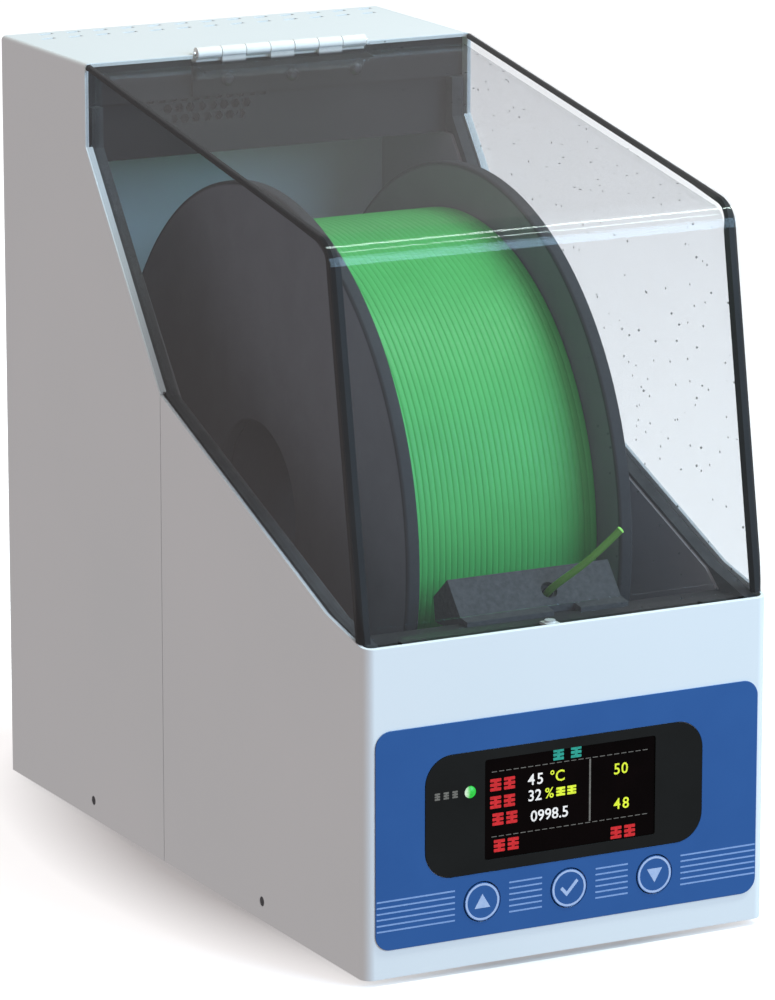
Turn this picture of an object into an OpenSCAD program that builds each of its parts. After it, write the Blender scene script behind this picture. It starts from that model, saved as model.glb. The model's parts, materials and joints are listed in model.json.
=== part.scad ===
// Filament dryer for one spool: a sheet-metal box with a clear hinged lid,
// a spool that turns on rollers, a hot-air unit under the roof and a control panel in front.
// Millimetres. X to the right, Y to the back, Z up; the origin is under the middle of the base.

/* [Housing] */
// Width of the housing
box_w = 135; // [132:1:150]
// Depth of the housing
box_d = 250; // [248:1:270]
// Height of the roof above the table
box_h = 244; // [244:1:252]
// Height of the front panel's top edge
front_h = 101.5; // [100:0.5:103]
// Thickness of the outer sheet
sheet_t = 1.2; // [0.8:0.1:1.5]
// Outer bend radius of the front corners
bend_r = 3.5; // [2:0.5:5]
// Height of the rubber feet
foot_h = 2; // [1.5:0.5:3]

/* [Side outline] */
// Front edge of the roof, from the middle
roof_front_y = 62; // [60:1:64]
// Height at which the opening starts to slope
knee_high_z = 218; // [212:1:222]
// Distance of the middle knee, from the middle
knee_mid_y = 10; // [8:1:14]
// Height of the middle knee
knee_mid_z = 150; // [144:1:154]
// Distance of the low knee in front of the middle
knee_low_y = 100.5; // [98:0.5:102]
// Height of the low knee
knee_low_z = 107; // [106:0.5:109]

/* [Lid] */
// Thickness of the clear sheet
lid_t = 3; // [2:0.5:4]
// Gap between the lid and the housing's edge
lid_gap = 0.6; // [0.5:0.1:1]
// Distance of the brow in front of the middle
brow_y = 103.5; // [101:0.5:105]
// Height of the brow
brow_z = 216.5; // [214:0.5:220]
// Outer bend radius of the brow
brow_r = 10; // [6:1:14]
// Distance of the pane's lower edge in front of the middle
pane_foot_y = 123; // [122:0.5:123.5]

/* [Spool] */
// Radius of a flange
flange_r = 100; // [97:1:101]
// Thickness of a flange
flange_t = 4.4; // [3:0.2:5]
// Width of the winding
winding_w = 67.2; // [60:0.2:70]
// Outer radius of the winding
winding_r = 86; // [60:1:90]
// Outer radius of the core
core_r = 50; // [40:1:55]
// Radius of the bore through the spool
bore_r = 26.5; // [25:0.5:28]
// Thickness of the filament
filament_d = 2.2; // [1.7:0.1:2.9]

/* [Rollers] */
// Radius of a roller
roller_r = 8; // [7:0.5:9]
// Width of a roller
roller_w = 8; // [6:1:10]
// Radius of a roller axle
axle_r = 3; // [2:0.5:4]
// Angle of a roller from straight below the spool
roller_angle = 35; // [30:1:38]

/* [Front panel] */
// Width of the keypad overlay
overlay_w = 128; // [126:1:128]
// Height of the keypad overlay
overlay_h = 66; // [62:1:68]
// Height of the middle of the overlay
overlay_z = 43.7; // [42:0.5:46]
// Width of the display window
window_w = 92.8; // [88:0.4:96]
// Height of the display window
window_h = 37; // [35:0.5:39]
// Height of the middle of the window
window_z = 48.5; // [47:0.5:50]
// Radius of a push button
button_r = 5.8; // [5:0.2:6.4]
// Distance between neighbouring buttons
button_pitch = 29; // [26:0.5:31]
// Height of the buttons
button_z = 21.2; // [20:0.2:22]
// Travel of a button
button_travel = 0.5; // [0.3:0.1:0.6]

/* [Hidden] */
$fn = 96;

half_w = box_w / 2;
half_d = box_d / 2;

// The side plates' outline, as [y, z] points.
side_outline = [[-half_d, foot_h], [half_d, foot_h], [half_d, box_h], [roof_front_y, box_h],
    [roof_front_y, knee_high_z], [knee_mid_y, knee_mid_z], [-knee_low_y, knee_low_z],
    [-half_d, front_h]];

// The front and rear shells meet in an upright seam below the middle knee.
seam_y = knee_mid_y;
seam_gap = 0.3;
roof_bend_r = 1.5;
lip_w = 2.4;
return_y = roof_front_y + 3.3;
return_low_z = box_h - 14;

// The walls of the warm chamber, from the outside in.
inner_x = half_w - sheet_t;
insulation_t = 3.9;
insulation_x = half_w - lip_w - 0.1;
liner_t = 1;
liner_x = insulation_x - insulation_t;
floor_t = 1.2;
floor_z = foot_h + floor_t;
liner_front_y = 107;
ledge_z = front_h - 1;
liner_rear_y = 109;
duct_z = 212;
duct_front_y = return_y + sheet_t + 0.1;

// The lid turns on a pin beside the roof's front edge.
hinge_y = roof_front_y + 0.2;
hinge_z = box_h + 0.4;
knuckle_r = 1.9;
pin_r = 0.8;
pin_clear = 0.05;
hinge_w = 59;
knuckles = 7;
knuckle_pitch = hinge_w / knuckles;
knuckle_gap = 0.3;
hinge_screw_pitch = 22.5;
hinge_screw_x = 5;

// The lid's top line runs from the hinge to the brow, and its front line on to the pane's foot.
lid_rear_y = roof_front_y - lid_gap;
lid_slope = (box_h - brow_z) / (roof_front_y + brow_y);
lid_rear_z = box_h - lid_slope * (roof_front_y - lid_rear_y);
lid_angle = atan(lid_slope);
pane_foot_z = front_h + lid_gap;
pane_lean = atan((pane_foot_y - brow_y) / (brow_z - pane_foot_z));

// The spool rests on four rollers with a small running gap.
rest_gap = 0.3;
core_wall = 3;
spool_y = 4.4;
spool_z = 113.2;
flange_x = winding_w / 2;
spool_half_w = flange_x + flange_t;
roller_reach = flange_r + roller_r + rest_gap;
roller_y = roller_reach * sin(roller_angle);
roller_z = spool_z - roller_reach * cos(roller_angle);
roller_x = flange_x + flange_t / 2;
cell_h = 4;
cradle_z = floor_z + cell_h;
cradle_t = 1.5;
ear_x = roller_x + roller_w / 2 + 4;
ear_t = 2;
ear_w = 16;
axle_l = 2 * (ear_x + ear_t + 1.5);
axle_clear = 0.05;

// The fan and the heater stand side by side behind the grille.
fan_x = -23.5;
fan_w = 25;
fan_t = 7;
fan_y = duct_front_y + 1.4;
fan_z = duct_z + 14.5;
fan_r = 11.3;

// The front panel's layers.
front_y = -half_d;
overlay_t = 0.4;
overlay_r = 4.9;
window_r = 8.8;
window_x = -1.4;
button_gap = 0.35;
screen_w = 57.2;
screen_h = 30.4;
screen_x = 0.4;
screen_z = 48.8;
led_x = -33;
led_z = 55;
led_r = 1.8;

// The guide block stands on the ledge; its bore is square to the slanted face.
guide_top_z = 112;
guide_back_y = -99.5;
guide_front_y = -112;
guide_half_w = 27;
guide_x = 4.5;
guide_y = -103.6;
guide_z = 105.6;
guide_tilt = 45;
guide_bore_r = 2.6;

// The power inlet and the rocker switch in the back panel.
inlet_x = -34;
inlet_z = 30;
switch_x = -6;
rocker_y = half_d - 6.9;

// The strand leaves the winding below, rises through the guide block and ends behind the pane.
strand_route = [[4.5, -65, 59.5], [4.5, -68, 63.1], [4.5, -71, 66.8], [4.5, -74, 70.5],
    [4.5, -77, 74.2], [4.5, -80, 77.9], [4.5, -83, 81.6], [4.5, -86, 85.3], [4.5, -89, 89],
    [4.5, -92, 92.7], [4.5, -95, 96.3], [4.5, -98, 99.8], [4.5, -101, 103], [4.7, -104, 106],
    [6.6, -106.8, 109], [10.2, -109.2, 112.4], [14.6, -111, 116.2], [19, -112.2, 120.2],
    [23.6, -113, 124.3]];
strand_sides = 8;

// A sheet or bar whose outline is given as [y, z] points, from x0 to x1.
module along_x(points, x0, x1) {
    translate([x0, 0, 0]) rotate([90, 0, 90])
        linear_extrude(height = x1 - x0) polygon(points);
}

// A box from its lowest to its highest corner.
module block(low, high) {
    translate(low) cube(high - low);
}

// A cylinder along X, from x0 to x1, at y and z.
module rod_x(x0, x1, y, z, r) {
    translate([x0, y, z]) rotate([0, 90, 0]) cylinder(r = r, h = x1 - x0);
}

// A cylinder along Y, from y0 to y1, at x and z.
module rod_y(x, y0, y1, z, r) {
    translate([x, y1, z]) rotate([90, 0, 0]) cylinder(r = r, h = y1 - y0);
}

// A rounded rectangle in X and Z, from y0 to y1.
module panel(w, h, r, x, z, y0, y1) {
    translate([x, y1, z]) rotate([90, 0, 0]) linear_extrude(height = y1 - y0) rounded_rect(w, h, r);
}

module rounded_rect(w, h, r) {
    square([w - 2 * r, h], center = true);
    square([w, h - 2 * r], center = true);
    for (sx = [-1, 1], sz = [-1, 1])
        translate([sx * (w / 2 - r), sz * (h / 2 - r)]) circle(r = r);
}

// The plan of the box, with bends of radius r at the two front corners.
module front_plan(w, y0, r) {
    translate([-w / 2, y0 + r]) square([w, box_d - r]);
    translate([-w / 2 + r, y0]) square([w - 2 * r, box_d]);
    for (s = [-1, 1]) translate([s * (w / 2 - r), y0 + r]) circle(r = r);
}

module side_screw_places() {
    for (y = [-58, 62]) translate([0, y, 8]) children();
}

// ---- Housing ----

module base_plate() {
    color("gainsboro") difference() {
        union() {
            block([-inner_x + 0.1, -half_d + bend_r, foot_h],
                [inner_x - 0.1, half_d - sheet_t - 0.1, floor_z]);
            for (s = [-1, 1]) translate([s * (inner_x - 0.7), 0, 0])
                block([-0.6, -half_d + 6, foot_h], [0.6, half_d - 6, 12]);
        }
        side_screw_places() rod_x(-half_w, half_w, 0, 0, 1.5);
    }
}

module rear_shell() {
    color("whitesmoke") {
        difference() {
            intersection() {
                along_x(side_outline, -half_w, half_w);
                block([-half_w, seam_y + seam_gap / 2, foot_h], [half_w, half_d, box_h]);
                translate([0, half_d, foot_h - 10]) rotate([90, 0, 0])
                    linear_extrude(height = box_d) translate([0, (box_h - foot_h + 10) / 2])
                    rounded_rect(box_w, box_h - foot_h + 10, roof_bend_r);
            }
            block([-inner_x, 0, 0], [inner_x, half_d + 1, box_h - sheet_t]);
            roof_vents();
            block([-hinge_w / 2 - 1, 0, box_h - 10], [hinge_w / 2 + 1, return_y, box_h + 1]);
            side_screw_places() rod_x(-half_w - 1, half_w + 1, 0, 0, 1.5);
        }
        for (s = [-1, 1]) slope_lip(s);
    }
}

// The hem along the sloping edge of one rear side.
module slope_lip(side) {
    x0 = side > 0 ? half_w - lip_w : -half_w;
    run = [knee_mid_y + 0.5, roof_front_y];
    rise = (knee_high_z - knee_mid_z) / (roof_front_y - knee_mid_y);
    along_x([[run[0], knee_mid_z + rise * 0.5], [run[1], knee_high_z],
        [run[1], knee_high_z - 2.4], [run[0] + 1.2, knee_mid_z - 0.2]], x0, x0 + lip_w);
}

// The dark rail under the roof's front edge, which carries the hinge.
module roof_rail() {
    color("slategray") block([-inner_x, return_y, return_low_z],
        [inner_x, return_y + sheet_t, box_h - sheet_t]);
}

// Two staggered rows of slots near the back of the roof.
module roof_vents() {
    for (row = [0, 1], i = [0:12])
        translate([-54 + i * 9.5 - row * 3, 122 - row * 8.5, box_h - sheet_t - 1])
            rotate([0, 0, 12]) linear_extrude(height = sheet_t + 2)
            translate([0, -1]) square([5, 1.8], center = true);
}

module front_shell() {
    color("whitesmoke") difference() {
        intersection() {
            along_x(side_outline, -half_w, half_w);
            translate([0, 0, foot_h]) linear_extrude(height = box_h) front_plan(box_w, front_y, bend_r);
            block([-half_w, -half_d, 0], [half_w, seam_y - seam_gap / 2, box_h]);
        }
        translate([0, 0, -1]) linear_extrude(height = box_h + 2)
            front_plan(box_w - 2 * sheet_t, front_y + sheet_t, bend_r - sheet_t);
        panel(window_w - 6, window_h - 6, 5, window_x, window_z, front_y - 1, front_y + 3);
        button_places() rod_y(0, front_y - 1, front_y + 3, 0, button_r + button_gap);
        side_screw_places() rod_x(-half_w - 1, half_w + 1, 0, 0, 1.5);
    }
}

// The back, with a row of intake slots and the holes for the inlet and the switch.
module back_panel() {
    color("gainsboro") difference() {
        block([-inner_x + 0.2, half_d - sheet_t, floor_z],
            [inner_x - 0.2, half_d, box_h - sheet_t - 0.1]);
        for (i = [0:6]) translate([0, half_d, 180 + i * 6])
            cube([60, 4, 2], center = true);
        rod_y(inlet_x, half_d - 3, half_d + 1, inlet_z, 5.6);
        block([switch_x - 9.6, half_d - 3, inlet_z - 6.6], [switch_x + 9.6, half_d + 1, inlet_z + 6.6]);
    }
}

module insulation(side) {
    x0 = side > 0 ? insulation_x - insulation_t : -insulation_x;
    color("dimgray") along_x([[-half_d + 3, floor_z + 0.2], [half_d - 3, floor_z + 0.2],
        [half_d - 3, box_h - 3], [return_y + 2, box_h - 3], [return_y + 2, return_low_z],
        [roof_front_y + 0.4, return_low_z], [roof_front_y + 0.4, knee_high_z - 0.6],
        [knee_mid_y + 0.4, knee_mid_z - 0.6], [-knee_low_y, knee_low_z - 0.5],
        [-half_d + 3, front_h - 0.2]], x0, x0 + insulation_t);
}

module liner_side(side) {
    x0 = side > 0 ? liner_x - liner_t : -liner_x;
    color("dimgray") along_x([[-liner_front_y + 0.2, floor_z + 0.2], [liner_rear_y - 0.2, floor_z + 0.2],
        [liner_rear_y - 0.2, duct_z - 0.2], [roof_front_y - 0.2, duct_z - 0.2],
        [knee_mid_y, knee_mid_z - 2], [-knee_low_y, knee_low_z - 1.5],
        [-liner_front_y + 0.2, ledge_z]], x0, x0 + liner_t);
}

// The front wall of the chamber and the ledge that joins it to the front panel.
module liner_front() {
    color("dimgray") {
        block([-liner_x + 0.1, -liner_front_y - liner_t, floor_z + 0.2],
            [liner_x - 0.1, -liner_front_y, ledge_z]);
        block([-liner_x + 0.1, front_y + sheet_t + 0.1, ledge_z - liner_t],
            [liner_x - 0.1, -liner_front_y - liner_t / 2, ledge_z]);
    }
}

module liner_rear() {
    color("dimgray") block([-liner_x + 0.1, liner_rear_y, floor_z + 0.2],
        [liner_x - 0.1, liner_rear_y + liner_t, duct_z - 0.1]);
}

// The hot-air unit's front plate with its grille, and its bottom plate.
module heater_duct() {
    color("slategray") difference() {
        union() {
            block([-liner_x, duct_front_y, duct_z],
                [liner_x, duct_front_y + liner_t, box_h - sheet_t - 0.2]);
            block([-liner_x, duct_front_y, duct_z], [liner_x, liner_rear_y + liner_t, duct_z + liner_t]);
        }
        grille_holes();
        block([10, liner_rear_y - 14, duct_z - 1], [50, liner_rear_y - 4, duct_z + 3]);
    }
}

// Six-sided holes that fill a trapezoid in front of the fan.
module grille_holes() {
    pitch = 3.9;
    for (row = [0:3], i = [-6:6]) {
        x = fan_x + (i + (row % 2) / 2) * pitch;
        z = duct_z + 11.5 + row * pitch * 0.87;
        if (abs(x - fan_x) < 14 + row * 3.4)
            translate([x, duct_front_y + 3, z]) rotate([90, 0, 0]) cylinder(r = 1.6, h = 5, $fn = 6);
    }
}

module ptc_heater() {
    color("silver") difference() {
        block([fan_x - 20, fan_y + fan_t + 6, duct_z + liner_t],
            [fan_x + 20, fan_y + fan_t + 20, duct_z + 25]);
        for (i = [-6:6]) translate([fan_x + i * 2.8, fan_y + fan_t + 13, duct_z + 13])
            cube([1.2, 30, 18], center = true);
    }
}

module fan_frame() {
    color("dimgray") difference() {
        translate([fan_x, fan_y + fan_t / 2, fan_z]) cube([fan_w, fan_t, fan_w], center = true);
        rod_y(fan_x, fan_y - 1, fan_y + fan_t - 1.2, fan_z, fan_r + 0.4);
        difference() {
            rod_y(fan_x, fan_y, fan_y + fan_t + 1, fan_z, fan_r + 0.4);
            rod_y(fan_x, fan_y - 1, fan_y + fan_t + 2, fan_z, 5.5);
            for (a = [0, 60, 120]) translate([fan_x, fan_y + fan_t - 0.6, fan_z]) rotate([0, a, 0])
                cube([fan_w, 1.2, 1.6], center = true);
        }
    }
}

module fan_rotor() {
    color("black") {
        rod_y(fan_x, fan_y + 0.6, fan_y + fan_t - 1.6, fan_z, 5);
        for (i = [0:6]) translate([fan_x, fan_y + 2.9, fan_z]) rotate([0, i * 360 / 7, 0])
            translate([7.8, 0, 0]) rotate([40, 0, 0]) cube([6.4, 0.8, 4.6], center = true);
    }
}

module foot(x, y) {
    color("black") translate([x, y, 0]) cylinder(r = 6, h = foot_h);
}

module side_screws(side) {
    x0 = side > 0 ? half_w - lip_w : -half_w + 0.2;
    color("darkslategray") side_screw_places() rod_x(x0, x0 + lip_w - 0.2, 0, 0, 1.45);
}

// ---- Spool carriage ----

module load_cell(x) {
    color("silver") difference() {
        block([x - 6, spool_y - 30, floor_z], [x + 6, spool_y + 30, cradle_z]);
        block([x - 7, spool_y - 20, floor_z - 1], [x + 7, spool_y + 20, floor_z + 1]);
    }
}

module roller_cradle() {
    color("gray") difference() {
        union() {
            block([-ear_x - ear_t, spool_y - roller_y - ear_w / 2, cradle_z],
                [ear_x + ear_t, spool_y + roller_y + ear_w / 2, cradle_z + cradle_t]);
            for (s = [-1, 1], t = [-1, 1]) ear(s, spool_y + t * roller_y);
        }
        for (t = [-1, 1])
            rod_x(-ear_x - 5, ear_x + 5, spool_y + t * roller_y, roller_z, axle_r + axle_clear);
    }
}

// An upright tab with a round top, bored for an axle.
module ear(side, y) {
    x0 = side > 0 ? ear_x : -ear_x - ear_t;
    block([x0, y - ear_w / 2, cradle_z], [x0 + ear_t, y + ear_w / 2, roller_z]);
    rod_x(x0, x0 + ear_t, y, roller_z, ear_w / 2);
}

module axle(end) {
    color("silver") rod_x(-axle_l / 2, axle_l / 2, spool_y + end * roller_y, roller_z, axle_r);
}

// A rubber roller with a shoulder on the outside that keeps the flange on it.
module roller(side, end) {
    color("black") translate([side * roller_x, spool_y + end * roller_y, roller_z])
        rotate([0, 90 * side, 0]) difference() {
            union() {
                translate([0, 0, -roller_w / 2]) cylinder(r = roller_r, h = roller_w);
                translate([0, 0, roller_w / 2 - 1.2]) cylinder(r = roller_r + 1, h = 1.2);
            }
            translate([0, 0, -roller_w]) cylinder(r = axle_r, h = 2 * roller_w);
        }
}

// ---- Spool ----

module flange(side) {
    x0 = side > 0 ? flange_x : -flange_x - flange_t;
    rim = 0.8;
    color("dimgray") translate([x0, spool_y, spool_z]) rotate([0, 90, 0]) rotate_extrude($fn = 180)
        polygon([[bore_r, 0], [flange_r - rim, 0], [flange_r, rim], [flange_r, flange_t - rim],
            [flange_r - rim, flange_t], [bore_r, flange_t]]);
}

// The tube that the filament is wound on.
module spool_core() {
    color("dimgray") between_flanges(core_r, core_r - core_wall);
}

// The tube that lines the bore from flange to flange.
module bore_sleeve() {
    color("dimgray") between_flanges(bore_r + core_wall, bore_r);
}

module between_flanges(outer, inner) {
    translate([-flange_x, spool_y, spool_z]) rotate([0, 90, 0]) tube(outer, inner, winding_w);
}

module tube(outer, inner, h) {
    linear_extrude(height = h) difference() {
        circle(r = outer);
        circle(r = inner);
    }
}

module filament_winding() {
    color("mediumseagreen") between_flanges(winding_r, core_r);
}

// ---- Controls ----

module button_places() {
    for (i = [-1:1]) translate([i * button_pitch, 0, button_z]) children();
}

module control_board() {
    color("darkgreen") {
        block([-50, front_y + 6.2, 10], [50, front_y + 7.8, 84]);
        button_places() rod_y(0, front_y + 3.3, front_y + 6.2, 0, 1.75);
    }
}

module tft_module() {
    color("black") {
        block([screen_x - 32, front_y + 1.6, screen_z - 17.5],
            [screen_x + 32, front_y + 6.2, screen_z + 17.5]);
        panel(screen_w - 0.2, screen_h - 0.2, 0.7, screen_x, screen_z, front_y - 0.2, front_y + 2);
    }
}

// A dark sheet with an opening over the screen and a hole for the lamp.
module display_window() {
    color([0.12, 0.12, 0.11]) difference() {
        union() {
            panel(window_w, window_h, window_r, window_x, window_z, front_y - overlay_t - 0.1, front_y);
            panel(window_w - 6.4, window_h - 6.4, 4.8, window_x, window_z, front_y - overlay_t,
                front_y + 1.5);
        }
        panel(screen_w, screen_h, 0.8, screen_x, screen_z, front_y - 2, front_y + 3);
        rod_y(led_x, front_y - 2, front_y + 1, led_z, led_r + 0.1);
    }
}

module keypad_overlay() {
    color("royalblue") difference() {
        panel(overlay_w, overlay_h, overlay_r, 0, overlay_z, front_y - overlay_t, front_y);
        panel(window_w + 0.2, window_h + 0.2, window_r, window_x, window_z, front_y - 1, front_y + 1);
        button_places() rod_y(0, front_y - 1, front_y + 1, 0, button_r + button_gap);
    }
}

module status_led() {
    color("lime") intersection() {
        rod_y(led_x, front_y - 3, front_y + 0.9, led_z, led_r);
        translate([led_x, front_y + 1.6, led_z]) sphere(r = 2.7);
    }
}

module button(i) {
    color("royalblue") {
        rod_y(i * button_pitch, front_y - overlay_t - 0.2, front_y + 1.6, button_z, button_r);
        rod_y(i * button_pitch, front_y + 1.4, front_y + 2.7, button_z, 2);
    }
}

// ---- Filament guide and lid stops ----

// A bar with a slanted front face. Its foot lies on the ledge, its back hangs behind the ledge.
module guide_block() {
    color("dimgray") difference() {
        along_x([[guide_front_y, ledge_z], [guide_back_y - 7, ledge_z], [guide_back_y - 7, ledge_z - 3],
            [guide_back_y + 7.5, ledge_z - 3], [guide_back_y + 8.5, guide_top_z - 7],
            [guide_back_y, guide_top_z], [guide_front_y + 4.4, ledge_z + 2.1],
            [guide_front_y, ledge_z + 1.5]], -guide_half_w, guide_half_w);
        guide_bore() cylinder(r = guide_bore_r, h = 60, center = true);
        block([2, guide_front_y - 1, ledge_z - 1], [11, guide_front_y + 4, ledge_z + 3]);
    }
}

module guide_bore() {
    translate([guide_x, guide_y, guide_z]) rotate([guide_tilt, 0, 0]) children();
}

// A plastic tube in the bore, just below the slanted face.
module guide_tube() {
    color("white") guide_bore() translate([0, 0, -6.4]) tube(guide_bore_r, 1.7, 6);
}

module lid_switch() {
    color("white") translate([-3.9, guide_front_y - 8, ledge_z]) {
        cylinder(r = 1.6, h = 1.5);
        translate([-2.2, -2.2, 0]) cube([4.4, 4.4, 0.8]);
    }
}

module lid_bumper(x) {
    color("black") block([x - 4, -pane_foot_y, ledge_z],
        [x + 4, -pane_foot_y + lid_t, front_h + lid_gap - 0.3]);
}

module humidity_sensor() {
    color("white") difference() {
        block([36, liner_rear_y - 6, 150], [50, liner_rear_y, 172]);
        for (i = [0:3]) block([39, liner_rear_y - 7, 154 + i * 4], [47, liner_rear_y - 5, 156 + i * 4]);
    }
}

module power_inlet() {
    color("black") {
        difference() {
            union() {
                rod_y(inlet_x, half_d - 12, half_d, inlet_z, 5.5);
                rod_y(inlet_x, half_d, half_d + 1.2, inlet_z, 7);
            }
            rod_y(inlet_x, half_d - 10, half_d + 3, inlet_z, 3.2);
        }
        rod_y(inlet_x, half_d - 11, half_d - 0.5, inlet_z, 1);
    }
}

module switch_frame() {
    color("black") difference() {
        union() {
            block([switch_x - 9.5, half_d - 14, inlet_z - 6.5], [switch_x + 9.5, half_d, inlet_z + 6.5]);
            block([switch_x - 10.5, half_d, inlet_z - 7.5], [switch_x + 10.5, half_d + 1.2, inlet_z + 7.5]);
        }
        block([switch_x - 7.5, rocker_y - 3.5, inlet_z - 5], [switch_x + 7.5, half_d + 3, inlet_z + 5]);
        translate([switch_x, rocker_y, inlet_z - 6]) cylinder(r = 1, h = 12);
    }
}

// A rocker with two flat faces that meet in a blunt angle at its middle, on two short trunnions.
module power_rocker() {
    color("firebrick") translate([switch_x, rocker_y, inlet_z]) rotate([0, 0, 10]) {
        linear_extrude(height = 9.2, center = true)
            polygon([[-6, 0], [-6, 7.2], [0, 5.6], [6, 7.2], [6, 0], [3, -2.4], [-3, -2.4]]);
        cylinder(r = 0.95, h = 11.6, center = true);
    }
}

// ---- Hinge and lid ----

function knuckle_x(i) = -hinge_w / 2 + i * knuckle_pitch + knuckle_gap / 2;

// The barrel pieces of one leaf, every second one from the first.
module knuckle_row(first) {
    for (i = [first:2:knuckles - 1])
        rod_x(knuckle_x(i), knuckle_x(i) + knuckle_pitch - knuckle_gap, hinge_y, hinge_z, knuckle_r);
}

module pin_hole() {
    rod_x(-hinge_w, hinge_w, hinge_y, hinge_z, pin_r + pin_clear);
}

module hinge_roof_leaf() {
    color("silver") difference() {
        union() {
            knuckle_row(0);
            for (i = [0:2:knuckles - 1]) block([knuckle_x(i), hinge_y, hinge_z - 2.8],
                [knuckle_x(i) + knuckle_pitch - knuckle_gap, return_y, hinge_z - 1.2]);
            block([-hinge_w / 2, return_y - 1, return_low_z + 0.5], [hinge_w / 2, return_y, hinge_z - 1.8]);
        }
        pin_hole();
    }
}

module hinge_screw(i) {
    color("dimgray") intersection() {
        rod_y(hinge_screw_x + i * hinge_screw_pitch, return_y - 2.4, return_y - 1, 235, 2);
        translate([hinge_screw_x + i * hinge_screw_pitch, return_y - 0.2, 235]) sphere(r = 2.4);
    }
}

// The lid's leaf lies under the rear edge of the clear sheet.
module hinge_lid_leaf() {
    low = lid_rear_z - lid_t / cos(lid_angle);
    color("silver") difference() {
        union() {
            knuckle_row(1);
            for (i = [1:2:knuckles - 1]) block([knuckle_x(i), hinge_y - 1.5, low - 0.9],
                [knuckle_x(i) + knuckle_pitch - knuckle_gap, hinge_y + 0.4, hinge_z - 1.2]);
            along_x([[lid_rear_y - 6, low - 6 * lid_slope], [lid_rear_y - 0.4, low - 0.4 * lid_slope],
                [lid_rear_y - 0.4, low - 0.9], [lid_rear_y - 6, low - 6 * lid_slope - 0.9]],
                -hinge_w / 2, hinge_w / 2);
        }
        pin_hole();
    }
}

module hinge_pin() {
    color("silver") rod_x(-hinge_w / 2 - 0.6, hinge_w / 2 + 0.6, hinge_y, hinge_z, pin_r);
}

// The lid's outline, inset by d from its top and front lines, with a round brow.
module lid_outline(d, r) {
    top = d / cos(lid_angle);
    front = d / cos(pane_lean);
    slope = tan(pane_lean);
    foot = -pane_foot_y + front;
    corner_y = ((foot + slope * (box_h - top - lid_slope * roof_front_y - pane_foot_z))
        / (1 - slope * lid_slope));
    corner_z = box_h - top + lid_slope * (corner_y - roof_front_y);
    turn = 90 - lid_angle - pane_lean;
    reach = r * tan(turn / 2);
    along_top = [cos(lid_angle), sin(lid_angle)];
    along_front = [-sin(pane_lean), -cos(pane_lean)];
    corner = [corner_y, corner_z];
    start = corner + reach * along_top;
    end = corner + reach * along_front;
    middle = start + r * [sin(lid_angle), -cos(lid_angle)];
    polygon([[lid_rear_y, box_h - top - lid_slope * (roof_front_y - lid_rear_y)], start, middle, end,
        [foot, pane_foot_z], [-knee_low_y - lid_gap, knee_low_z + lid_gap],
        [knee_mid_y - lid_gap, knee_mid_z + lid_gap], [lid_rear_y, knee_high_z + lid_gap]]);
    translate(middle) circle(r = r);
}

module lid_cover() {
    color([0.6, 0.65, 0.68, 0.4]) difference() {
        intersection() {
            translate([-half_w, 0, 0]) rotate([90, 0, 90]) linear_extrude(height = box_w)
                lid_outline(0, brow_r);
            linear_extrude(height = box_h + 10) front_plan(box_w, -pane_foot_y - 0.02, bend_r);
        }
        translate([-half_w + lid_t, 0, 0]) rotate([90, 0, 90]) linear_extrude(height = box_w - 2 * lid_t)
            lid_room();
        block([-hinge_w / 2 - 1, hinge_y - 2.2, 200], [hinge_w / 2 + 1, hinge_y + 5, box_h + 5]);
    }
}

// The room under the lid runs past its lower and rear edges.
module lid_room() {
    lid_outline(lid_t, brow_r - lid_t);
    translate([-pane_foot_y + lid_t / cos(pane_lean), pane_foot_z - 20]) square([pane_foot_y, 24]);
    polygon([[-knee_low_y - 20, knee_low_z - 6], [knee_low_y, knee_low_z - 6],
        [lid_rear_y + 5, lid_rear_z - lid_t * 1.2], [lid_rear_y - 40, lid_rear_z - lid_t - 8],
        [-knee_low_y - 10, knee_low_z + 20]]);
}

// ---- Filament strand ----

function unit(v) = v / norm(v);
function strand_way(i) = unit(strand_route[min(i + 1, len(strand_route) - 1)] - strand_route[max(i - 1, 0)]);

module filament_strand() {
    last = len(strand_route) - 1;
    rings = [for (i = [0:last]) let (way = strand_way(i), side = unit(cross(way, [0.3, -0.6, -0.8])),
        lift = cross(side, way)) for (k = [0:strand_sides - 1])
            strand_route[i] + filament_d / 2
                * (cos(360 * k / strand_sides) * side + sin(360 * k / strand_sides) * lift)];
    walls = [for (i = [0:last - 1], k = [0:strand_sides - 1]) let (n = (k + 1) % strand_sides)
        [i * strand_sides + k, i * strand_sides + n, (i + 1) * strand_sides + n,
            (i + 1) * strand_sides + k]];
    first_cap = [for (k = [strand_sides - 1:-1:0]) k];
    last_cap = [for (k = [0:strand_sides - 1]) last * strand_sides + k];
    color("limegreen") polyhedron(points = rings, faces = concat(walls, [first_cap, last_cap]));
}

base_plate();
rear_shell();
front_shell();
back_panel();
roof_rail();
insulation(-1);  // insulation_left
insulation(1);  // insulation_right
liner_side(-1);  // liner_left
liner_side(1);  // liner_right
liner_front();
liner_rear();
heater_duct();
ptc_heater();
fan_frame();
fan_rotor();
foot(-half_w + 12, -half_d + 14);  // foot_front_left
foot(half_w - 12, -half_d + 14);  // foot_front_right
foot(-half_w + 12, half_d - 14);  // foot_rear_left
foot(half_w - 12, half_d - 14);  // foot_rear_right
side_screws(-1);  // side_screws_left
side_screws(1);  // side_screws_right
load_cell(-28);  // load_cell_left
load_cell(28);  // load_cell_right
roller_cradle();
axle(-1);  // front_axle
roller(-1, -1);  // front_roller_left
roller(1, -1);  // front_roller_right
axle(1);  // rear_axle
roller(-1, 1);  // rear_roller_left
roller(1, 1);  // rear_roller_right
flange(-1);  // flange_left
flange(1);  // flange_right
spool_core();
bore_sleeve();
filament_winding();
control_board();
tft_module();
display_window();
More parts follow.
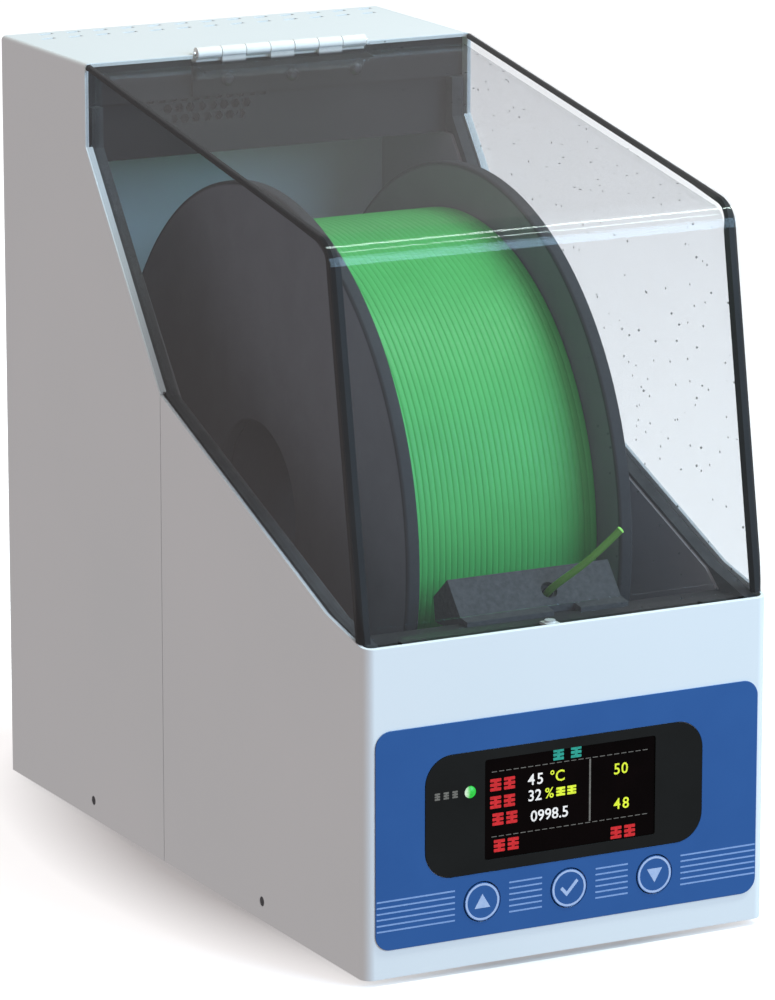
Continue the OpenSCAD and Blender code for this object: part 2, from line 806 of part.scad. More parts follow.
keypad_overlay();
status_led();
button(-1);  // button_up
button(0);  // button_ok
button(1);  // button_down
guide_block();
guide_tube();
lid_switch();
lid_bumper(-50);  // lid_bumper_left
lid_bumper(50);  // lid_bumper_right
humidity_sensor();
power_inlet();
switch_frame();
power_rocker();
hinge_roof_leaf();
hinge_screw(-1);  // hinge_screw_left
hinge_screw(0);  // hinge_screw_middle
hinge_screw(1);  // hinge_screw_right
lid_cover();
hinge_lid_leaf();
hinge_pin();
filament_strand();
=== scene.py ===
import json
import math
import random

import bmesh
import bpy
from mathutils import Matrix, Vector

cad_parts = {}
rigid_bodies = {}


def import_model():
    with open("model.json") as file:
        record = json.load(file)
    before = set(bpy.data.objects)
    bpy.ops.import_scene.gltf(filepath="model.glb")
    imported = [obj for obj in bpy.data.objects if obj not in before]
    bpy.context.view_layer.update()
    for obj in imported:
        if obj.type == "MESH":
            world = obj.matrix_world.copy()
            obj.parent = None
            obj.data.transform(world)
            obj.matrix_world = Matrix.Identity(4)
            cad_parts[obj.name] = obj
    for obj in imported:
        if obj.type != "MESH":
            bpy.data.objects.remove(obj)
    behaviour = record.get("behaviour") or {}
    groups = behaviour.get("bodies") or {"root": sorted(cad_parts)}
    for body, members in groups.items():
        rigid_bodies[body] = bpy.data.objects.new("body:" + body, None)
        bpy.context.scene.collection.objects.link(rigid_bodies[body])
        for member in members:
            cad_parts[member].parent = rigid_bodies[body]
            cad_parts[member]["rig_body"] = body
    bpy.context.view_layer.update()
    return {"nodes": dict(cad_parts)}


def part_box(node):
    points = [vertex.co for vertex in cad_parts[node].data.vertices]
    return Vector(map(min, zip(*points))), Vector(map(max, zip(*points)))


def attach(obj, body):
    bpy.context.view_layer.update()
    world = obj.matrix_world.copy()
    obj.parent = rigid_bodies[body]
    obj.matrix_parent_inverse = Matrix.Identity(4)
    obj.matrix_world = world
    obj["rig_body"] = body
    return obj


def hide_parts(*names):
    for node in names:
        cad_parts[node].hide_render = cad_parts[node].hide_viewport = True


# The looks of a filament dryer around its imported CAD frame. Metres; X right, Y back, Z up.
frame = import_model()
NODES = frame["nodes"]
MM = 0.001

# The strand of filament from the winding to its free end: the same points as in the CAD source.
STRAND_MM = [
    (4.5, -65, 59.5), (4.5, -68, 63.1), (4.5, -71, 66.8), (4.5, -74, 70.5), (4.5, -77, 74.2),
    (4.5, -80, 77.9), (4.5, -83, 81.6), (4.5, -86, 85.3), (4.5, -89, 89), (4.5, -92, 92.7),
    (4.5, -95, 96.3), (4.5, -98, 99.8), (4.5, -101, 103), (4.7, -104, 106), (6.6, -106.8, 109),
    (10.2, -109.2, 112.4), (14.6, -111, 116.2), (19, -112.2, 120.2), (23.6, -113, 124.3),
]
STRAND = [Vector(point) * MM for point in STRAND_MM]
FILAMENT_D = 2.2 * MM
TURNS = 34

# Y and Z of the spool's axis, half the case's width and depth, and the point the lamps aim at.
SPOOL_AXIS = (0.0044, 0.1132)
CASE_HALF = (0.0675, 0.125)
LAMP_AIM = (0, 0, 0.12)


# ---- Camera, lights and floor ----

def add_camera():
    """A long lens, left of the front and a little above it."""
    azimuth, elevation = math.radians(-27.56), math.radians(13.57)
    target, distance = Vector((3.1, -4.2, 112.3)) * MM, 1.8092
    back = Vector((math.sin(azimuth) * math.cos(elevation),
                   -math.cos(azimuth) * math.cos(elevation), math.sin(elevation)))
    data = bpy.data.cameras.new("camera")
    data.lens, data.sensor_width = 211, 36
    data.clip_end = 50
    camera = bpy.data.objects.new("camera", data)
    camera.matrix_world = facing(target + back * distance, back, Vector((0, 0, 1)).cross(back))
    bpy.context.scene.collection.objects.link(camera)
    bpy.context.scene.camera = camera


def facing(place, back, across):
    """The matrix of a camera or lamp at place with its Z along back and its X along across."""
    z = back.normalized()
    x = (across - across.dot(z) * z).normalized()
    y = z.cross(x)
    matrix = Matrix((x, y, z)).transposed().to_4x4()
    matrix.translation = place
    return matrix


def add_lamp(name, direction, distance, size, strength, colour):
    """An area lamp that lights a surface square to it at the object's middle with that strength."""
    data = bpy.data.lights.new(name, "AREA")
    data.shape = "RECTANGLE"
    data.size, data.size_y = size
    data.energy = strength * (math.pi * distance) ** 2
    data.color = colour
    lamp = bpy.data.objects.new(name, data)
    back = Vector(direction).normalized()
    lamp.matrix_world = facing(Vector(LAMP_AIM) + back * distance, back, Vector((1, 0, 0)))
    bpy.context.scene.collection.objects.link(lamp)


def add_studio():
    """An even grey sky, a broad cool lamp from the front right and a thin one above."""
    bpy.context.scene.view_settings.view_transform = "Standard"
    world = bpy.data.worlds.new("studio")
    world.use_nodes = True
    background = world.node_tree.nodes["Background"]
    background.inputs["Color"].default_value = (0.45, 0.42, 0.42, 1)
    bpy.context.scene.world = world
    add_lamp("key", (0.55, -0.75, 0.37), 2.2, (1.3, 1.0), 0.76, (0.46, 0.74, 1.0))
    add_lamp("top", (0.45, -0.23, 0.86), 1.6, (1.0, 0.16), 0.66, (0.83, 1.0, 0.96))


def add_floor():
    """A pale sheet under the object that doesn't light it and isn't mirrored in it."""
    bm = bmesh.new()
    bmesh.ops.create_grid(bm, x_segments=8, y_segments=8, size=4.0)
    mesh = bpy.data.meshes.new("floor")
    bm.to_mesh(mesh)
    bm.free()
    floor = bpy.data.objects.new("floor", mesh)
    look = surface("floor", (0.9, 0.88, 0.87), (0.93, 0.91, 0.9), 0.9, tone=0.5, grain=0.004,
                   depth=0.00002)
    mesh.materials.append(look)
    brighten_away(look)
    bpy.context.scene.collection.objects.link(floor)
    floor.visible_glossy = False
    floor.visible_diffuse = False


def brighten_away(look):
    """The floor glows more with the distance from the object: painted light that washes out the
    cast shadow away from the object, while the dim floor near it keeps the contact shadow.

    The distance is counted in half-sizes of the case."""
    nodes, links = look.node_tree.nodes, look.node_tree.links
    shader = nodes["Principled BSDF"]
    away = distance_from(nodes, links, (0, 0, 0), (1 / CASE_HALF[0], 1 / CASE_HALF[1], 0))
    start, end = 1.02, 1.5
    dim, bright = 0.08, 0.6
    shader.inputs["Emission Color"].default_value = (1, 1, 1, 1)
    links.new(ranged(nodes, links, away, dim, bright, start, end),
              shader.inputs["Emission Strength"])


# ---- Materials ----

def new_material(name):
    made = bpy.data.materials.new("look_" + name)
    made.use_nodes = True
    return made, made.node_tree.nodes, made.node_tree.links


def mapped_position(nodes, links, location, scale):
    """A point's place in the piece's own coordinates, scaled and then moved."""
    coordinates = nodes.new("ShaderNodeTexCoord")
    mapping = nodes.new("ShaderNodeMapping")
    mapping.inputs["Location"].default_value = location
    mapping.inputs["Scale"].default_value = scale
    links.new(coordinates.outputs["Object"], mapping.inputs["Vector"])
    return mapping.outputs["Vector"]


def distance_from(nodes, links, location, scale):
    """How long a point's mapped position is."""
    away = nodes.new("ShaderNodeVectorMath")
    away.operation = "LENGTH"
    links.new(mapped_position(nodes, links, location, scale), away.inputs[0])
    return away.outputs["Value"]


def along(nodes, links, axis):
    """A point's place along X, Y or Z in the piece's own coordinates, in metres."""
    coordinates = nodes.new("ShaderNodeTexCoord")
    axes = nodes.new("ShaderNodeSeparateXYZ")
    links.new(coordinates.outputs["Object"], axes.inputs["Vector"])
    return axes.outputs[axis]


def noise(nodes, links, size, detail=3.0, stretch=(1, 1, 1)):
    """Noise of that grain size in metres, in the piece's own coordinates."""
    texture = nodes.new("ShaderNodeTexNoise")
    texture.inputs["Scale"].default_value = 1 / size
    texture.inputs["Detail"].default_value = detail
    links.new(mapped_position(nodes, links, (0, 0, 0), stretch), texture.inputs["Vector"])
    return texture.outputs["Fac"]


def ranged(nodes, links, value, low, high, start=0.3, end=0.7):
    """The value, moved from the range start to end to the range low to high."""
    mapped = nodes.new("ShaderNodeMapRange")
    for socket, number in (("From Min", start), ("From Max", end),
                           ("To Min", low), ("To Max", high)):
        mapped.inputs[socket].default_value = number
    links.new(value, mapped.inputs["Value"])
    return mapped.outputs["Result"]


def surface(name, low, high, roughness, spread=0.06, tone=0.03, grain=0.0006, depth=0.00001,
            stretch=(1, 1, 1), **sockets):
    """A Principled material: two tones in soft patches, and fine grain in roughness and height."""
    made, nodes, links = new_material(name)
    shader = nodes["Principled BSDF"]
    ramp = nodes.new("ShaderNodeValToRGB")
    for element, position, colour in zip(ramp.color_ramp.elements, (0.3, 0.7), (low, high)):
        element.position, element.color = position, (*colour, 1)
    links.new(noise(nodes, links, tone, 5.0, stretch), ramp.inputs["Fac"])
    links.new(ramp.outputs["Color"], shader.inputs["Base Color"])
    fine = noise(nodes, links, grain, 2.0, stretch)
    links.new(ranged(nodes, links, fine, roughness - spread, roughness + spread),
              shader.inputs["Roughness"])
    bump = nodes.new("ShaderNodeBump")
    bump.inputs["Distance"].default_value = depth
    links.new(fine, bump.inputs["Height"])
    links.new(bump.outputs["Normal"], shader.inputs["Normal"])
    for socket, value in sockets.items():
        shader.inputs[socket.replace("_", " ")].default_value = value
    return made


def glowing(name, colour, strength):
    """A lit mark: its brightness wavers a little, as backlit pixels do."""
    made, nodes, links = new_material(name)
    shader = nodes["Principled BSDF"]
    shader.inputs["Base Color"].default_value = (*[c * 0.3 for c in colour], 1)
    shader.inputs["Emission Color"].default_value = (*colour, 1)
    fine = noise(nodes, links, 0.0006)
    links.new(ranged(nodes, links, fine, strength * 0.7, strength * 1.15),
              shader.inputs["Emission Strength"])
    links.new(ranged(nodes, links, fine, 0.3, 0.5), shader.inputs["Roughness"])
    return made


def lit_lamp(name, start, end):
    """A lit green lamp with a painted highlight on its left: a pale glow that fades from x = start
    to x = end.
    """
    green, painted_highlight = (0.02, 0.6, 0.05), (0.85, 1, 0.85)
    made = glowing(name, green, 0.8)
    nodes, links = made.node_tree.nodes, made.node_tree.links
    ramp = nodes.new("ShaderNodeValToRGB")
    for element, colour in zip(ramp.color_ramp.elements, (painted_highlight, green)):
        element.color = (*colour, 1)
    links.new(ranged(nodes, links, along(nodes, links, "X"), 0, 1, start, end), ramp.inputs["Fac"])
    links.new(ramp.outputs["Color"], nodes["Principled BSDF"].inputs["Emission Color"])
    return made


def mixed(nodes, links, share, first, second):
    """Two shaders mixed, with that share of the second."""
    mix = nodes.new("ShaderNodeMixShader")
    links.new(share, mix.inputs[0])
    links.new(first, mix.inputs[1])
    links.new(second, mix.inputs[2])
    return mix.outputs[0]


def dust_share(nodes, links, dust):
    """Small specks, as dark as dust says, on the right part of a sheet."""
    speck_spacing = 0.006
    speck_edge, speck_end = 0.045, 0.085
    clean_x, dusty_x = 0.012, 0.03
    coordinates = nodes.new("ShaderNodeTexCoord")
    specks = nodes.new("ShaderNodeTexVoronoi")
    specks.inputs["Scale"].default_value = 1 / speck_spacing
    links.new(coordinates.outputs["Object"], specks.inputs["Vector"])
    share = nodes.new("ShaderNodeMath")
    share.operation = "MULTIPLY"
    links.new(ranged(nodes, links, specks.outputs["Distance"], dust, 0, speck_edge, speck_end),
              share.inputs[0])
    links.new(ranged(nodes, links, along(nodes, links, "X"), 0, 1, clean_x, dusty_x),
              share.inputs[1])
    return share.outputs["Value"]


def clear_sheet(name, tint, mirror, edge_mirror, dust):
    """A clear sheet: a light tint, more mirroring at a slant, thin haze, and dust on its right."""
    made, nodes, links = new_material(name)
    output = nodes["Material Output"]
    nodes.remove(nodes["Principled BSDF"])
    through = nodes.new("ShaderNodeBsdfTransparent")
    through.inputs["Color"].default_value = (*tint, 1)
    gloss = nodes.new("ShaderNodeBsdfGlossy")
    links.new(ranged(nodes, links, noise(nodes, links, 0.05), 0.07, 0.09),
              gloss.inputs["Roughness"])
    slant = nodes.new("ShaderNodeLayerWeight")
    power = nodes.new("ShaderNodeMath")
    power.operation = "POWER"
    power.inputs[1].default_value = 5
    links.new(slant.outputs["Facing"], power.inputs[0])
    reflecting = ranged(nodes, links, power.outputs["Value"], mirror, edge_mirror, 0, 1)
    pane = mixed(nodes, links, reflecting, through.outputs[0], gloss.outputs[0])
    haze = nodes.new("ShaderNodeBsdfDiffuse")
    haze.inputs["Color"].default_value = (0.5, 0.48, 0.47, 1)
    patches = ranged(nodes, links, noise(nodes, links, 0.05), 0.02, 0.03)
    hazy = mixed(nodes, links, patches, pane, haze.outputs[0])
    speck = nodes.new("ShaderNodeBsdfDiffuse")
    speck.inputs["Color"].default_value = (0.05, 0.05, 0.05, 1)
    dusty = mixed(nodes, links, dust_share(nodes, links, dust), hazy, speck.outputs[0])
    links.new(dusty, output.inputs["Surface"])
    return made


def toned(look, axis, start, end, low, high):
    """Multiplies a look's colour by low up to start on an axis and by high from end on, in metres.

    The axis "R" is the distance from the spool's axis."""
    nodes, links = look.node_tree.nodes, look.node_tree.links
    shader = nodes["Principled BSDF"]
    if axis == "R":
        value = distance_from(nodes, links, (0, -SPOOL_AXIS[0], -SPOOL_AXIS[1]), (0, 1, 1))
    else:
        value = along(nodes, links, axis)
    scaled = nodes.new("ShaderNodeVectorMath")
    scaled.operation = "SCALE"
    links.new(shader.inputs["Base Color"].links[0].from_socket, scaled.inputs[0])
    links.new(ranged(nodes, links, value, low, high, start, end), scaled.inputs["Scale"])
    links.new(scaled.outputs["Vector"], shader.inputs["Base Color"])
    return look


LOOKS = {
    "white_sheet": surface("white_sheet", (0.83, 0.86, 0.87), (0.86, 0.88, 0.89), 0.42, tone=0.08,
                           grain=0.0009, depth=0.000006),
    "plain_sheet": surface("plain_sheet", (0.76, 0.78, 0.79), (0.81, 0.83, 0.84), 0.45, tone=0.08,
                           grain=0.0009, depth=0.000008),
    "insulation": surface("insulation", (0.035, 0.037, 0.04), (0.06, 0.062, 0.065), 0.9, tone=0.006,
                          grain=0.0011, depth=0.0001),
    "dark_sheet": surface("dark_sheet", (0.1, 0.105, 0.11), (0.13, 0.135, 0.14), 0.55, tone=0.05,
                          grain=0.0008, depth=0.00001),
    "heater_fins": surface("heater_fins", (0.16, 0.16, 0.17), (0.24, 0.24, 0.25), 0.35, tone=0.01,
                           grain=0.0008, stretch=(1, 6, 1), Metallic=1.0),
    "black_plastic": surface("black_plastic", (0.014, 0.014, 0.015), (0.024, 0.024, 0.026), 0.5,
                             tone=0.01, grain=0.0005, depth=0.00002),
    "black_rubber": surface("black_rubber", (0.02, 0.02, 0.02), (0.035, 0.035, 0.035), 0.8,
                            tone=0.006, grain=0.0006, depth=0.00003),
    "dark_screws": surface("dark_screws", (0.05, 0.05, 0.055), (0.11, 0.11, 0.12), 0.4, tone=0.001,
                           grain=0.0004, Metallic=1.0),
    "cell_metal": surface("cell_metal", (0.66, 0.67, 0.69), (0.78, 0.79, 0.81), 0.35, tone=0.01,
                          grain=0.0005, stretch=(1, 0.08, 1), Metallic=1.0),
    "cradle_steel": surface("cradle_steel", (0.36, 0.37, 0.39), (0.46, 0.47, 0.49), 0.4, tone=0.02,
                            grain=0.0004, stretch=(0.1, 1, 1), Metallic=1.0),
    "axle_steel": surface("axle_steel", (0.74, 0.74, 0.76), (0.88, 0.88, 0.9), 0.25, tone=0.004,
                          grain=0.0004, stretch=(0.1, 1, 1), Metallic=1.0),
    # The flange rims past 99.2 mm from the axis take 0.22 of the face's colour: painted shade, so
    # the key lamp lights them less.
    "spool_plastic": toned(surface("spool_plastic", (0.146, 0.16, 0.182), (0.166, 0.182, 0.206),
                                   0.75, tone=0.012, grain=0.0012, depth=0.00004),
                           "R", 0.0985, 0.0992, 1, 0.22),
    "green_filament": surface("green_filament", (0.08, 0.6, 0.13), (0.095, 0.66, 0.15), 0.5,
                              tone=0.02, grain=0.0012, depth=0.00001),
    "board": surface("board", (0.015, 0.13, 0.06), (0.02, 0.18, 0.08), 0.35, tone=0.004,
                     grain=0.0006),
    "screen": surface("screen", (0.0015, 0.0005, 0.0005), (0.003, 0.001, 0.001), 0.3, tone=0.01,
                      grain=0.0005, depth=0.000002, Specular_IOR_Level=0.05),
    "window_sheet": surface("window_sheet", (0.01, 0.01, 0.009), (0.013, 0.013, 0.012), 0.35,
                            tone=0.02, grain=0.0006, depth=0.000003, Specular_IOR_Level=0.12),
    "overlay_film": surface("overlay_film", (0.021, 0.1, 0.31), (0.025, 0.11, 0.33), 0.45,
                            tone=0.02, grain=0.0004, depth=0.000006, Specular_IOR_Level=0.3),
    "lamp": lit_lamp("lamp", -0.0345, -0.0333),
    "button_film": surface("button_film", (0.021, 0.1, 0.31), (0.025, 0.11, 0.33), 0.45, tone=0.01,
                           grain=0.0004, depth=0.000006, Specular_IOR_Level=0.3),
    "guide_plastic": surface("guide_plastic", (0.05, 0.054, 0.058), (0.085, 0.09, 0.095), 0.75,
                             tone=0.0015, grain=0.0007, depth=0.00008),
    "white_plastic": surface("white_plastic", (0.78, 0.78, 0.76), (0.84, 0.84, 0.82), 0.45,
                             tone=0.004, grain=0.0005),
    "rocker_plastic": surface("rocker_plastic", (0.42, 0.02, 0.015), (0.5, 0.03, 0.02), 0.3,
                              tone=0.005, grain=0.0005),
    "clear_sheet": clear_sheet("clear_sheet", (0.9, 0.905, 0.915), 0.02, 0.6, 0.75),
}
# A dark strip along the lid's edges where two sheets meet: painted shade for the dark line that
# internal reflection shows there.
PAINTED_EDGE_SHADE = surface("lid_edge_painted_shade", (0.012, 0.014, 0.016), (0.02, 0.022, 0.024), 0.5, tone=0.02,
                     Specular_IOR_Level=0.15)
PRINT_LINES = surface("print_lines", (0.22, 0.36, 0.66), (0.28, 0.42, 0.72), 0.5, tone=0.002,
                      grain=0.0003)
PRINT_SIGNS = surface("print_signs", (0.4, 0.52, 0.78), (0.5, 0.6, 0.82), 0.5, tone=0.002,
                      grain=0.0003)
# The liner's rear wall, much lighter and bluer than the rest of its slot: painted light.
REAR_PAINTED_LIGHT = surface("rear_painted_light", (0.6, 0.65, 0.72), (0.67, 0.72, 0.8), 0.6, tone=0.05,
                     grain=0.0008, depth=0.00001)
# The liner's right wall, lighter than the rest of its slot: painted light.
RIGHT_PAINTED_LIGHT = surface("right_painted_light", (0.33, 0.315, 0.335), (0.39, 0.375, 0.395), 0.6, tone=0.05,
                      grain=0.0008, depth=0.00001)
# The hinge leaves are pale above z = 242 mm and nearly black below z = 241.2 mm: the dark lower
# part is painted shade.
HINGE_WITH_PAINTED_SHADE = toned(surface("hinge_with_painted_shade", (0.86, 0.83, 0.8), (0.93, 0.9, 0.87), 0.5, tone=0.004,
                            grain=0.0004, depth=0.000003, Specular_IOR_Level=0.2),
                    "Z", 0.2412, 0.242, 0.03, 1)
# The liner's front ledge, nearly black and darker than the rest of its slot: painted shade.
LEDGE_PAINTED_SHADE = surface("ledge_painted_shade", (0.02, 0.02, 0.022), (0.028, 0.028, 0.03), 0.6, tone=0.03,
                      grain=0.0008, depth=0.00001)
# The heater duct and roof rail, nearly black and darker than the rest of their slot: painted shade.
DUCT_PAINTED_SHADE = surface("duct_painted_shade", (0.013, 0.012, 0.013), (0.018, 0.016, 0.018), 0.7, tone=0.03,
                     grain=0.0008, depth=0.00001)
# The cut end glows green with emission 0.5: painted light for a bright dot at the strand's tip.
CUT_END_PAINTED_GLOW = surface("cut_end_painted_glow", (0.3, 0.85, 0.12), (0.45, 0.95, 0.25), 0.4, tone=0.0006,
                    grain=0.0002, Emission_Color=(0.3, 0.8, 0.15, 1), Emission_Strength=0.5)
# The strand is the winding's filament, but its green is darker and yellower than the winding's:
# painted shade.
STRAND_PAINTED_SHADE = surface("strand_painted_shade", (0.1, 0.28, 0.03), (0.13, 0.34, 0.045), 0.4, tone=0.01,
                       grain=0.0006)
INK_WHITE = glowing("ink_white", (0.75, 0.75, 0.75), 1.0)
INK_GREY = glowing("ink_grey", (0.12, 0.12, 0.11), 1.0)
INK_YELLOW = glowing("ink_yellow", (0.65, 0.78, 0.03), 1.0)
INK_RED = glowing("ink_red", (0.5, 0.008, 0.012), 1.0)
INK_TEAL = glowing("ink_teal", (0.01, 0.28, 0.22), 1.0)


# Nodes that look other than the rest of their slot.
SPECIAL = {
    "guide_tube": LOOKS["guide_plastic"],
    "liner_rear": REAR_PAINTED_LIGHT,
    "liner_right": RIGHT_PAINTED_LIGHT,
    "liner_front": LEDGE_PAINTED_SHADE,
    "heater_duct": DUCT_PAINTED_SHADE,
    "roof_rail": DUCT_PAINTED_SHADE,
    "hinge_roof_leaf": HINGE_WITH_PAINTED_SHADE,
    "hinge_lid_leaf": HINGE_WITH_PAINTED_SHADE,
}
SLOTS = {node: shown.data.materials[0].name.split(".")[0] for node, shown in NODES.items()}


# ---- Making pieces ----

def place(name, bm, body, slot, look, crease=35):
    """Turns bm into a piece with smooth faces that rides on a body."""
    mesh = bpy.data.meshes.new(name)
    bmesh.ops.recalc_face_normals(bm, faces=bm.faces)
    bm.to_mesh(mesh)
    bm.free()
    mesh.materials.append(look)
    mesh.polygons.foreach_set("use_smooth", [True] * len(mesh.polygons))
    mesh.set_sharp_from_angle(angle=math.radians(crease))
    piece = bpy.data.objects.new(name, mesh)
    bpy.context.scene.collection.objects.link(piece)
    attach(piece, body)
    return piece


def softened(node, width, steps=2):
    """A copy of a CAD node with its sharp edges rounded to width, which stands for the node."""
    source = NODES[node]
    bm = bmesh.new()
    corners = [bm.verts.new(vertex.co) for vertex in source.data.vertices]
    for polygon in source.data.polygons:
        bm.faces.new([corners[i] for i in polygon.vertices])
    bmesh.ops.remove_doubles(bm, verts=bm.verts, dist=0.002 * MM)
    bmesh.ops.dissolve_limit(bm, angle_limit=math.radians(0.3), verts=bm.verts, edges=bm.edges)
    sharp = [edge for edge in bm.edges
             if len(edge.link_faces) == 2 and edge.calc_face_angle() > math.radians(30)]
    bmesh.ops.bevel(bm, geom=sharp, offset=width, segments=steps, profile=0.5, affect="EDGES",
                    clamp_overlap=True)
    slot = SLOTS[node]
    piece = place(node + "_shape", bm, source["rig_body"], slot, LOOKS[slot])
    weighted = piece.modifiers.new("flat_faces", "WEIGHTED_NORMAL")
    weighted.keep_sharp = True
    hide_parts(node)
    return piece


def rounded(corners, radius, steps=5):
    """The closed outline through corners, each turned into an arc of that radius."""
    points = []
    for i, corner in enumerate(corners):
        here = Vector(corner)
        before = (Vector(corners[i - 1]) - here).normalized()
        after = (Vector(corners[(i + 1) % len(corners)]) - here).normalized()
        half = before.angle(after) / 2
        reach = radius / math.tan(half)
        start, end = here + before * reach, here + after * reach
        centre = here + (before + after).normalized() * (radius / math.sin(half))
        for k in range(steps + 1):
            spoke = (start - centre).lerp(end - centre, k / steps).normalized()
            points.append(centre + spoke * radius)
    return points


def lathe(bm, outline, axis_y, axis_z, steps=180):
    """Turns a closed outline of (radius, x) points about the line along X at axis_y, axis_z."""
    rings = []
    for step in range(steps):
        turn = 2 * math.pi * step / steps
        rings.append([bm.verts.new((x, axis_y + r * math.cos(turn), axis_z + r * math.sin(turn)))
                      for r, x in outline])
    count = len(outline)
    for ring, following in zip(rings, rings[1:] + rings[:1]):
        for i in range(count):
            n = (i + 1) % count
            bm.faces.new((ring[i], ring[n], following[n], following[i]))


def sweep(bm, sections):
    """A closed solid through sections, lists of points in order round each section."""
    rings = [[bm.verts.new(point) for point in section] for section in sections]
    count = len(rings[0])
    for ring, following in zip(rings, rings[1:]):
        for i in range(count):
            n = (i + 1) % count
            bm.faces.new((ring[i], ring[n], following[n], following[i]))
    bm.faces.new(rings[0])
    bm.faces.new(rings[-1])


# ---- Spool ----

def add_flange(node):
    """A spool flange with rounded rims."""
    low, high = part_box(node)
    axis_y, axis_z = (low.y + high.y) / 2, (low.z + high.z) / 2
    outer = (high.y - low.y) / 2
    bore = min(math.hypot(v.co.y - axis_y, v.co.z - axis_z) for v in NODES[node].data.vertices)
    bm = bmesh.new()
    corners = [(bore, low.x), (outer, low.x), (outer, high.x), (bore, high.x)]
    lathe(bm, rounded(corners, 0.9 * MM), axis_y, axis_z)
    piece = place(node + "_shape", bm, "spool", "spool_plastic", LOOKS["spool_plastic"])
    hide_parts(node)


def add_winding():
    """One strand wound side by side from flange to flange, over a plain inner layer."""
    low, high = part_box("filament_winding")
    axis_y, axis_z = (low.y + high.y) / 2, (low.z + high.z) / 2
    outer = (high.y - low.y) / 2
    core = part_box("spool_core")
    inner = (core[1].y - core[0].y) / 2
    pitch = (high.x - low.x) / TURNS
    strand_r = pitch / 2
    steps, sides = 120, 12
    ridge, bed = 0.18, 0.82
    begin = math.radians(200)
    random.seed(4)
    lift = [random.uniform(-0.05, 0) * MM for _ in range(TURNS + 1)]
    sections = []
    for step in range((TURNS - 1) * steps + 1):
        turn, part = divmod(step, steps)
        share = part / steps
        angle = 2 * math.pi * share + begin
        x = low.x + strand_r + pitch * step / steps
        radius = outer - strand_r + lift[turn] * (1 - share) + lift[turn + 1] * share
        section = []
        for k in range(sides):
            side = 2 * math.pi * k / sides
            r = radius + strand_r * (ridge * math.cos(side) + bed)
            section.append((x + strand_r * math.sin(side), axis_y + r * math.cos(angle),
                            axis_z + r * math.sin(angle)))
        sections.append(section)
    bm = bmesh.new()
    sweep(bm, sections)
    look = LOOKS["green_filament"]
    turns = place("winding_turns", bm, "spool", "green_filament", look, crease=60)
    bm = bmesh.new()
    under = outer - 1.6 * strand_r
    corners = [(inner, low.x), (under, low.x), (under, high.x), (inner, high.x)]
    lathe(bm, rounded(corners, 0.4 * MM, steps=2), axis_y, axis_z, steps=120)
    place("winding_layers", bm, "spool", "green_filament", look)
    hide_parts("filament_winding")


def add_strand():
    """The filament's free end, from the winding through the guide block."""
    data = bpy.data.curves.new("strand", "CURVE")
    data.dimensions = "3D"
    data.bevel_depth = FILAMENT_D / 2
    data.bevel_resolution = 4
    data.resolution_u = 6
    data.use_fill_caps = True
    spline = data.splines.new("BEZIER")
    spline.bezier_points.add(len(STRAND) - 1)
    for knot, point in zip(spline.bezier_points, STRAND):
        knot.co = point
        knot.handle_left_type = knot.handle_right_type = "AUTO"
    strand = bpy.data.objects.new("strand", data)
    bpy.context.scene.collection.objects.link(strand)
    data.materials.append(STRAND_PAINTED_SHADE)
    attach(strand, "housing")
    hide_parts("filament_strand")
    add_cut_end()


def add_cut_end():
    """The strand's fresh cut: a shallow dome over its free end."""
    way = (STRAND[-1] - STRAND[-2]).normalized()
    across = way.cross(Vector((0, 0, 1))).normalized()
    up = across.cross(way)
    dome = ((-0.25, 1.0), (0.1, 1.0), (0.3, 0.8), (0.42, 0.45))
    sections = []
    for out, share in dome:
        centre = STRAND[-1] + way * out * MM
        radius = (FILAMENT_D / 2 + 0.03 * MM) * share
        sections.append([centre + radius * (math.cos(a) * across + math.sin(a) * up)
                         for a in (2 * math.pi * k / 16 for k in range(16))])
    bm = bmesh.new()
    sweep(bm, sections)
    return place("strand_cut_end", bm, "housing", "green_filament", CUT_END_PAINTED_GLOW)


# ---- Lid ----

def lid_line():
    """The lid's outer line from the hinge over the brow to the foot, as (y, z) points."""
    low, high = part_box("lid_cover")
    edge = {(round(v.co.y, 6), round(v.co.z, 6)) for v in NODES["lid_cover"].data.vertices
            if v.co.x < low.x + 0.001 * MM}
    rear = Vector(max(edge, key=lambda point: point[1]))
    brow_floor = 205 * MM
    brow = [Vector(p) for p in sorted(edge, reverse=True) if p[0] < 0 and p[1] > brow_floor]
    foot = Vector((low.y, low.z))
    return ([rear.lerp(brow[0], share) for share in (0, 0.25, 0.5, 0.75, 0.9)] + brow
            + [brow[-1].lerp(foot, share) for share in (0.05, 0.2, 0.5, 0.8, 0.9, 0.96, 0.995)])


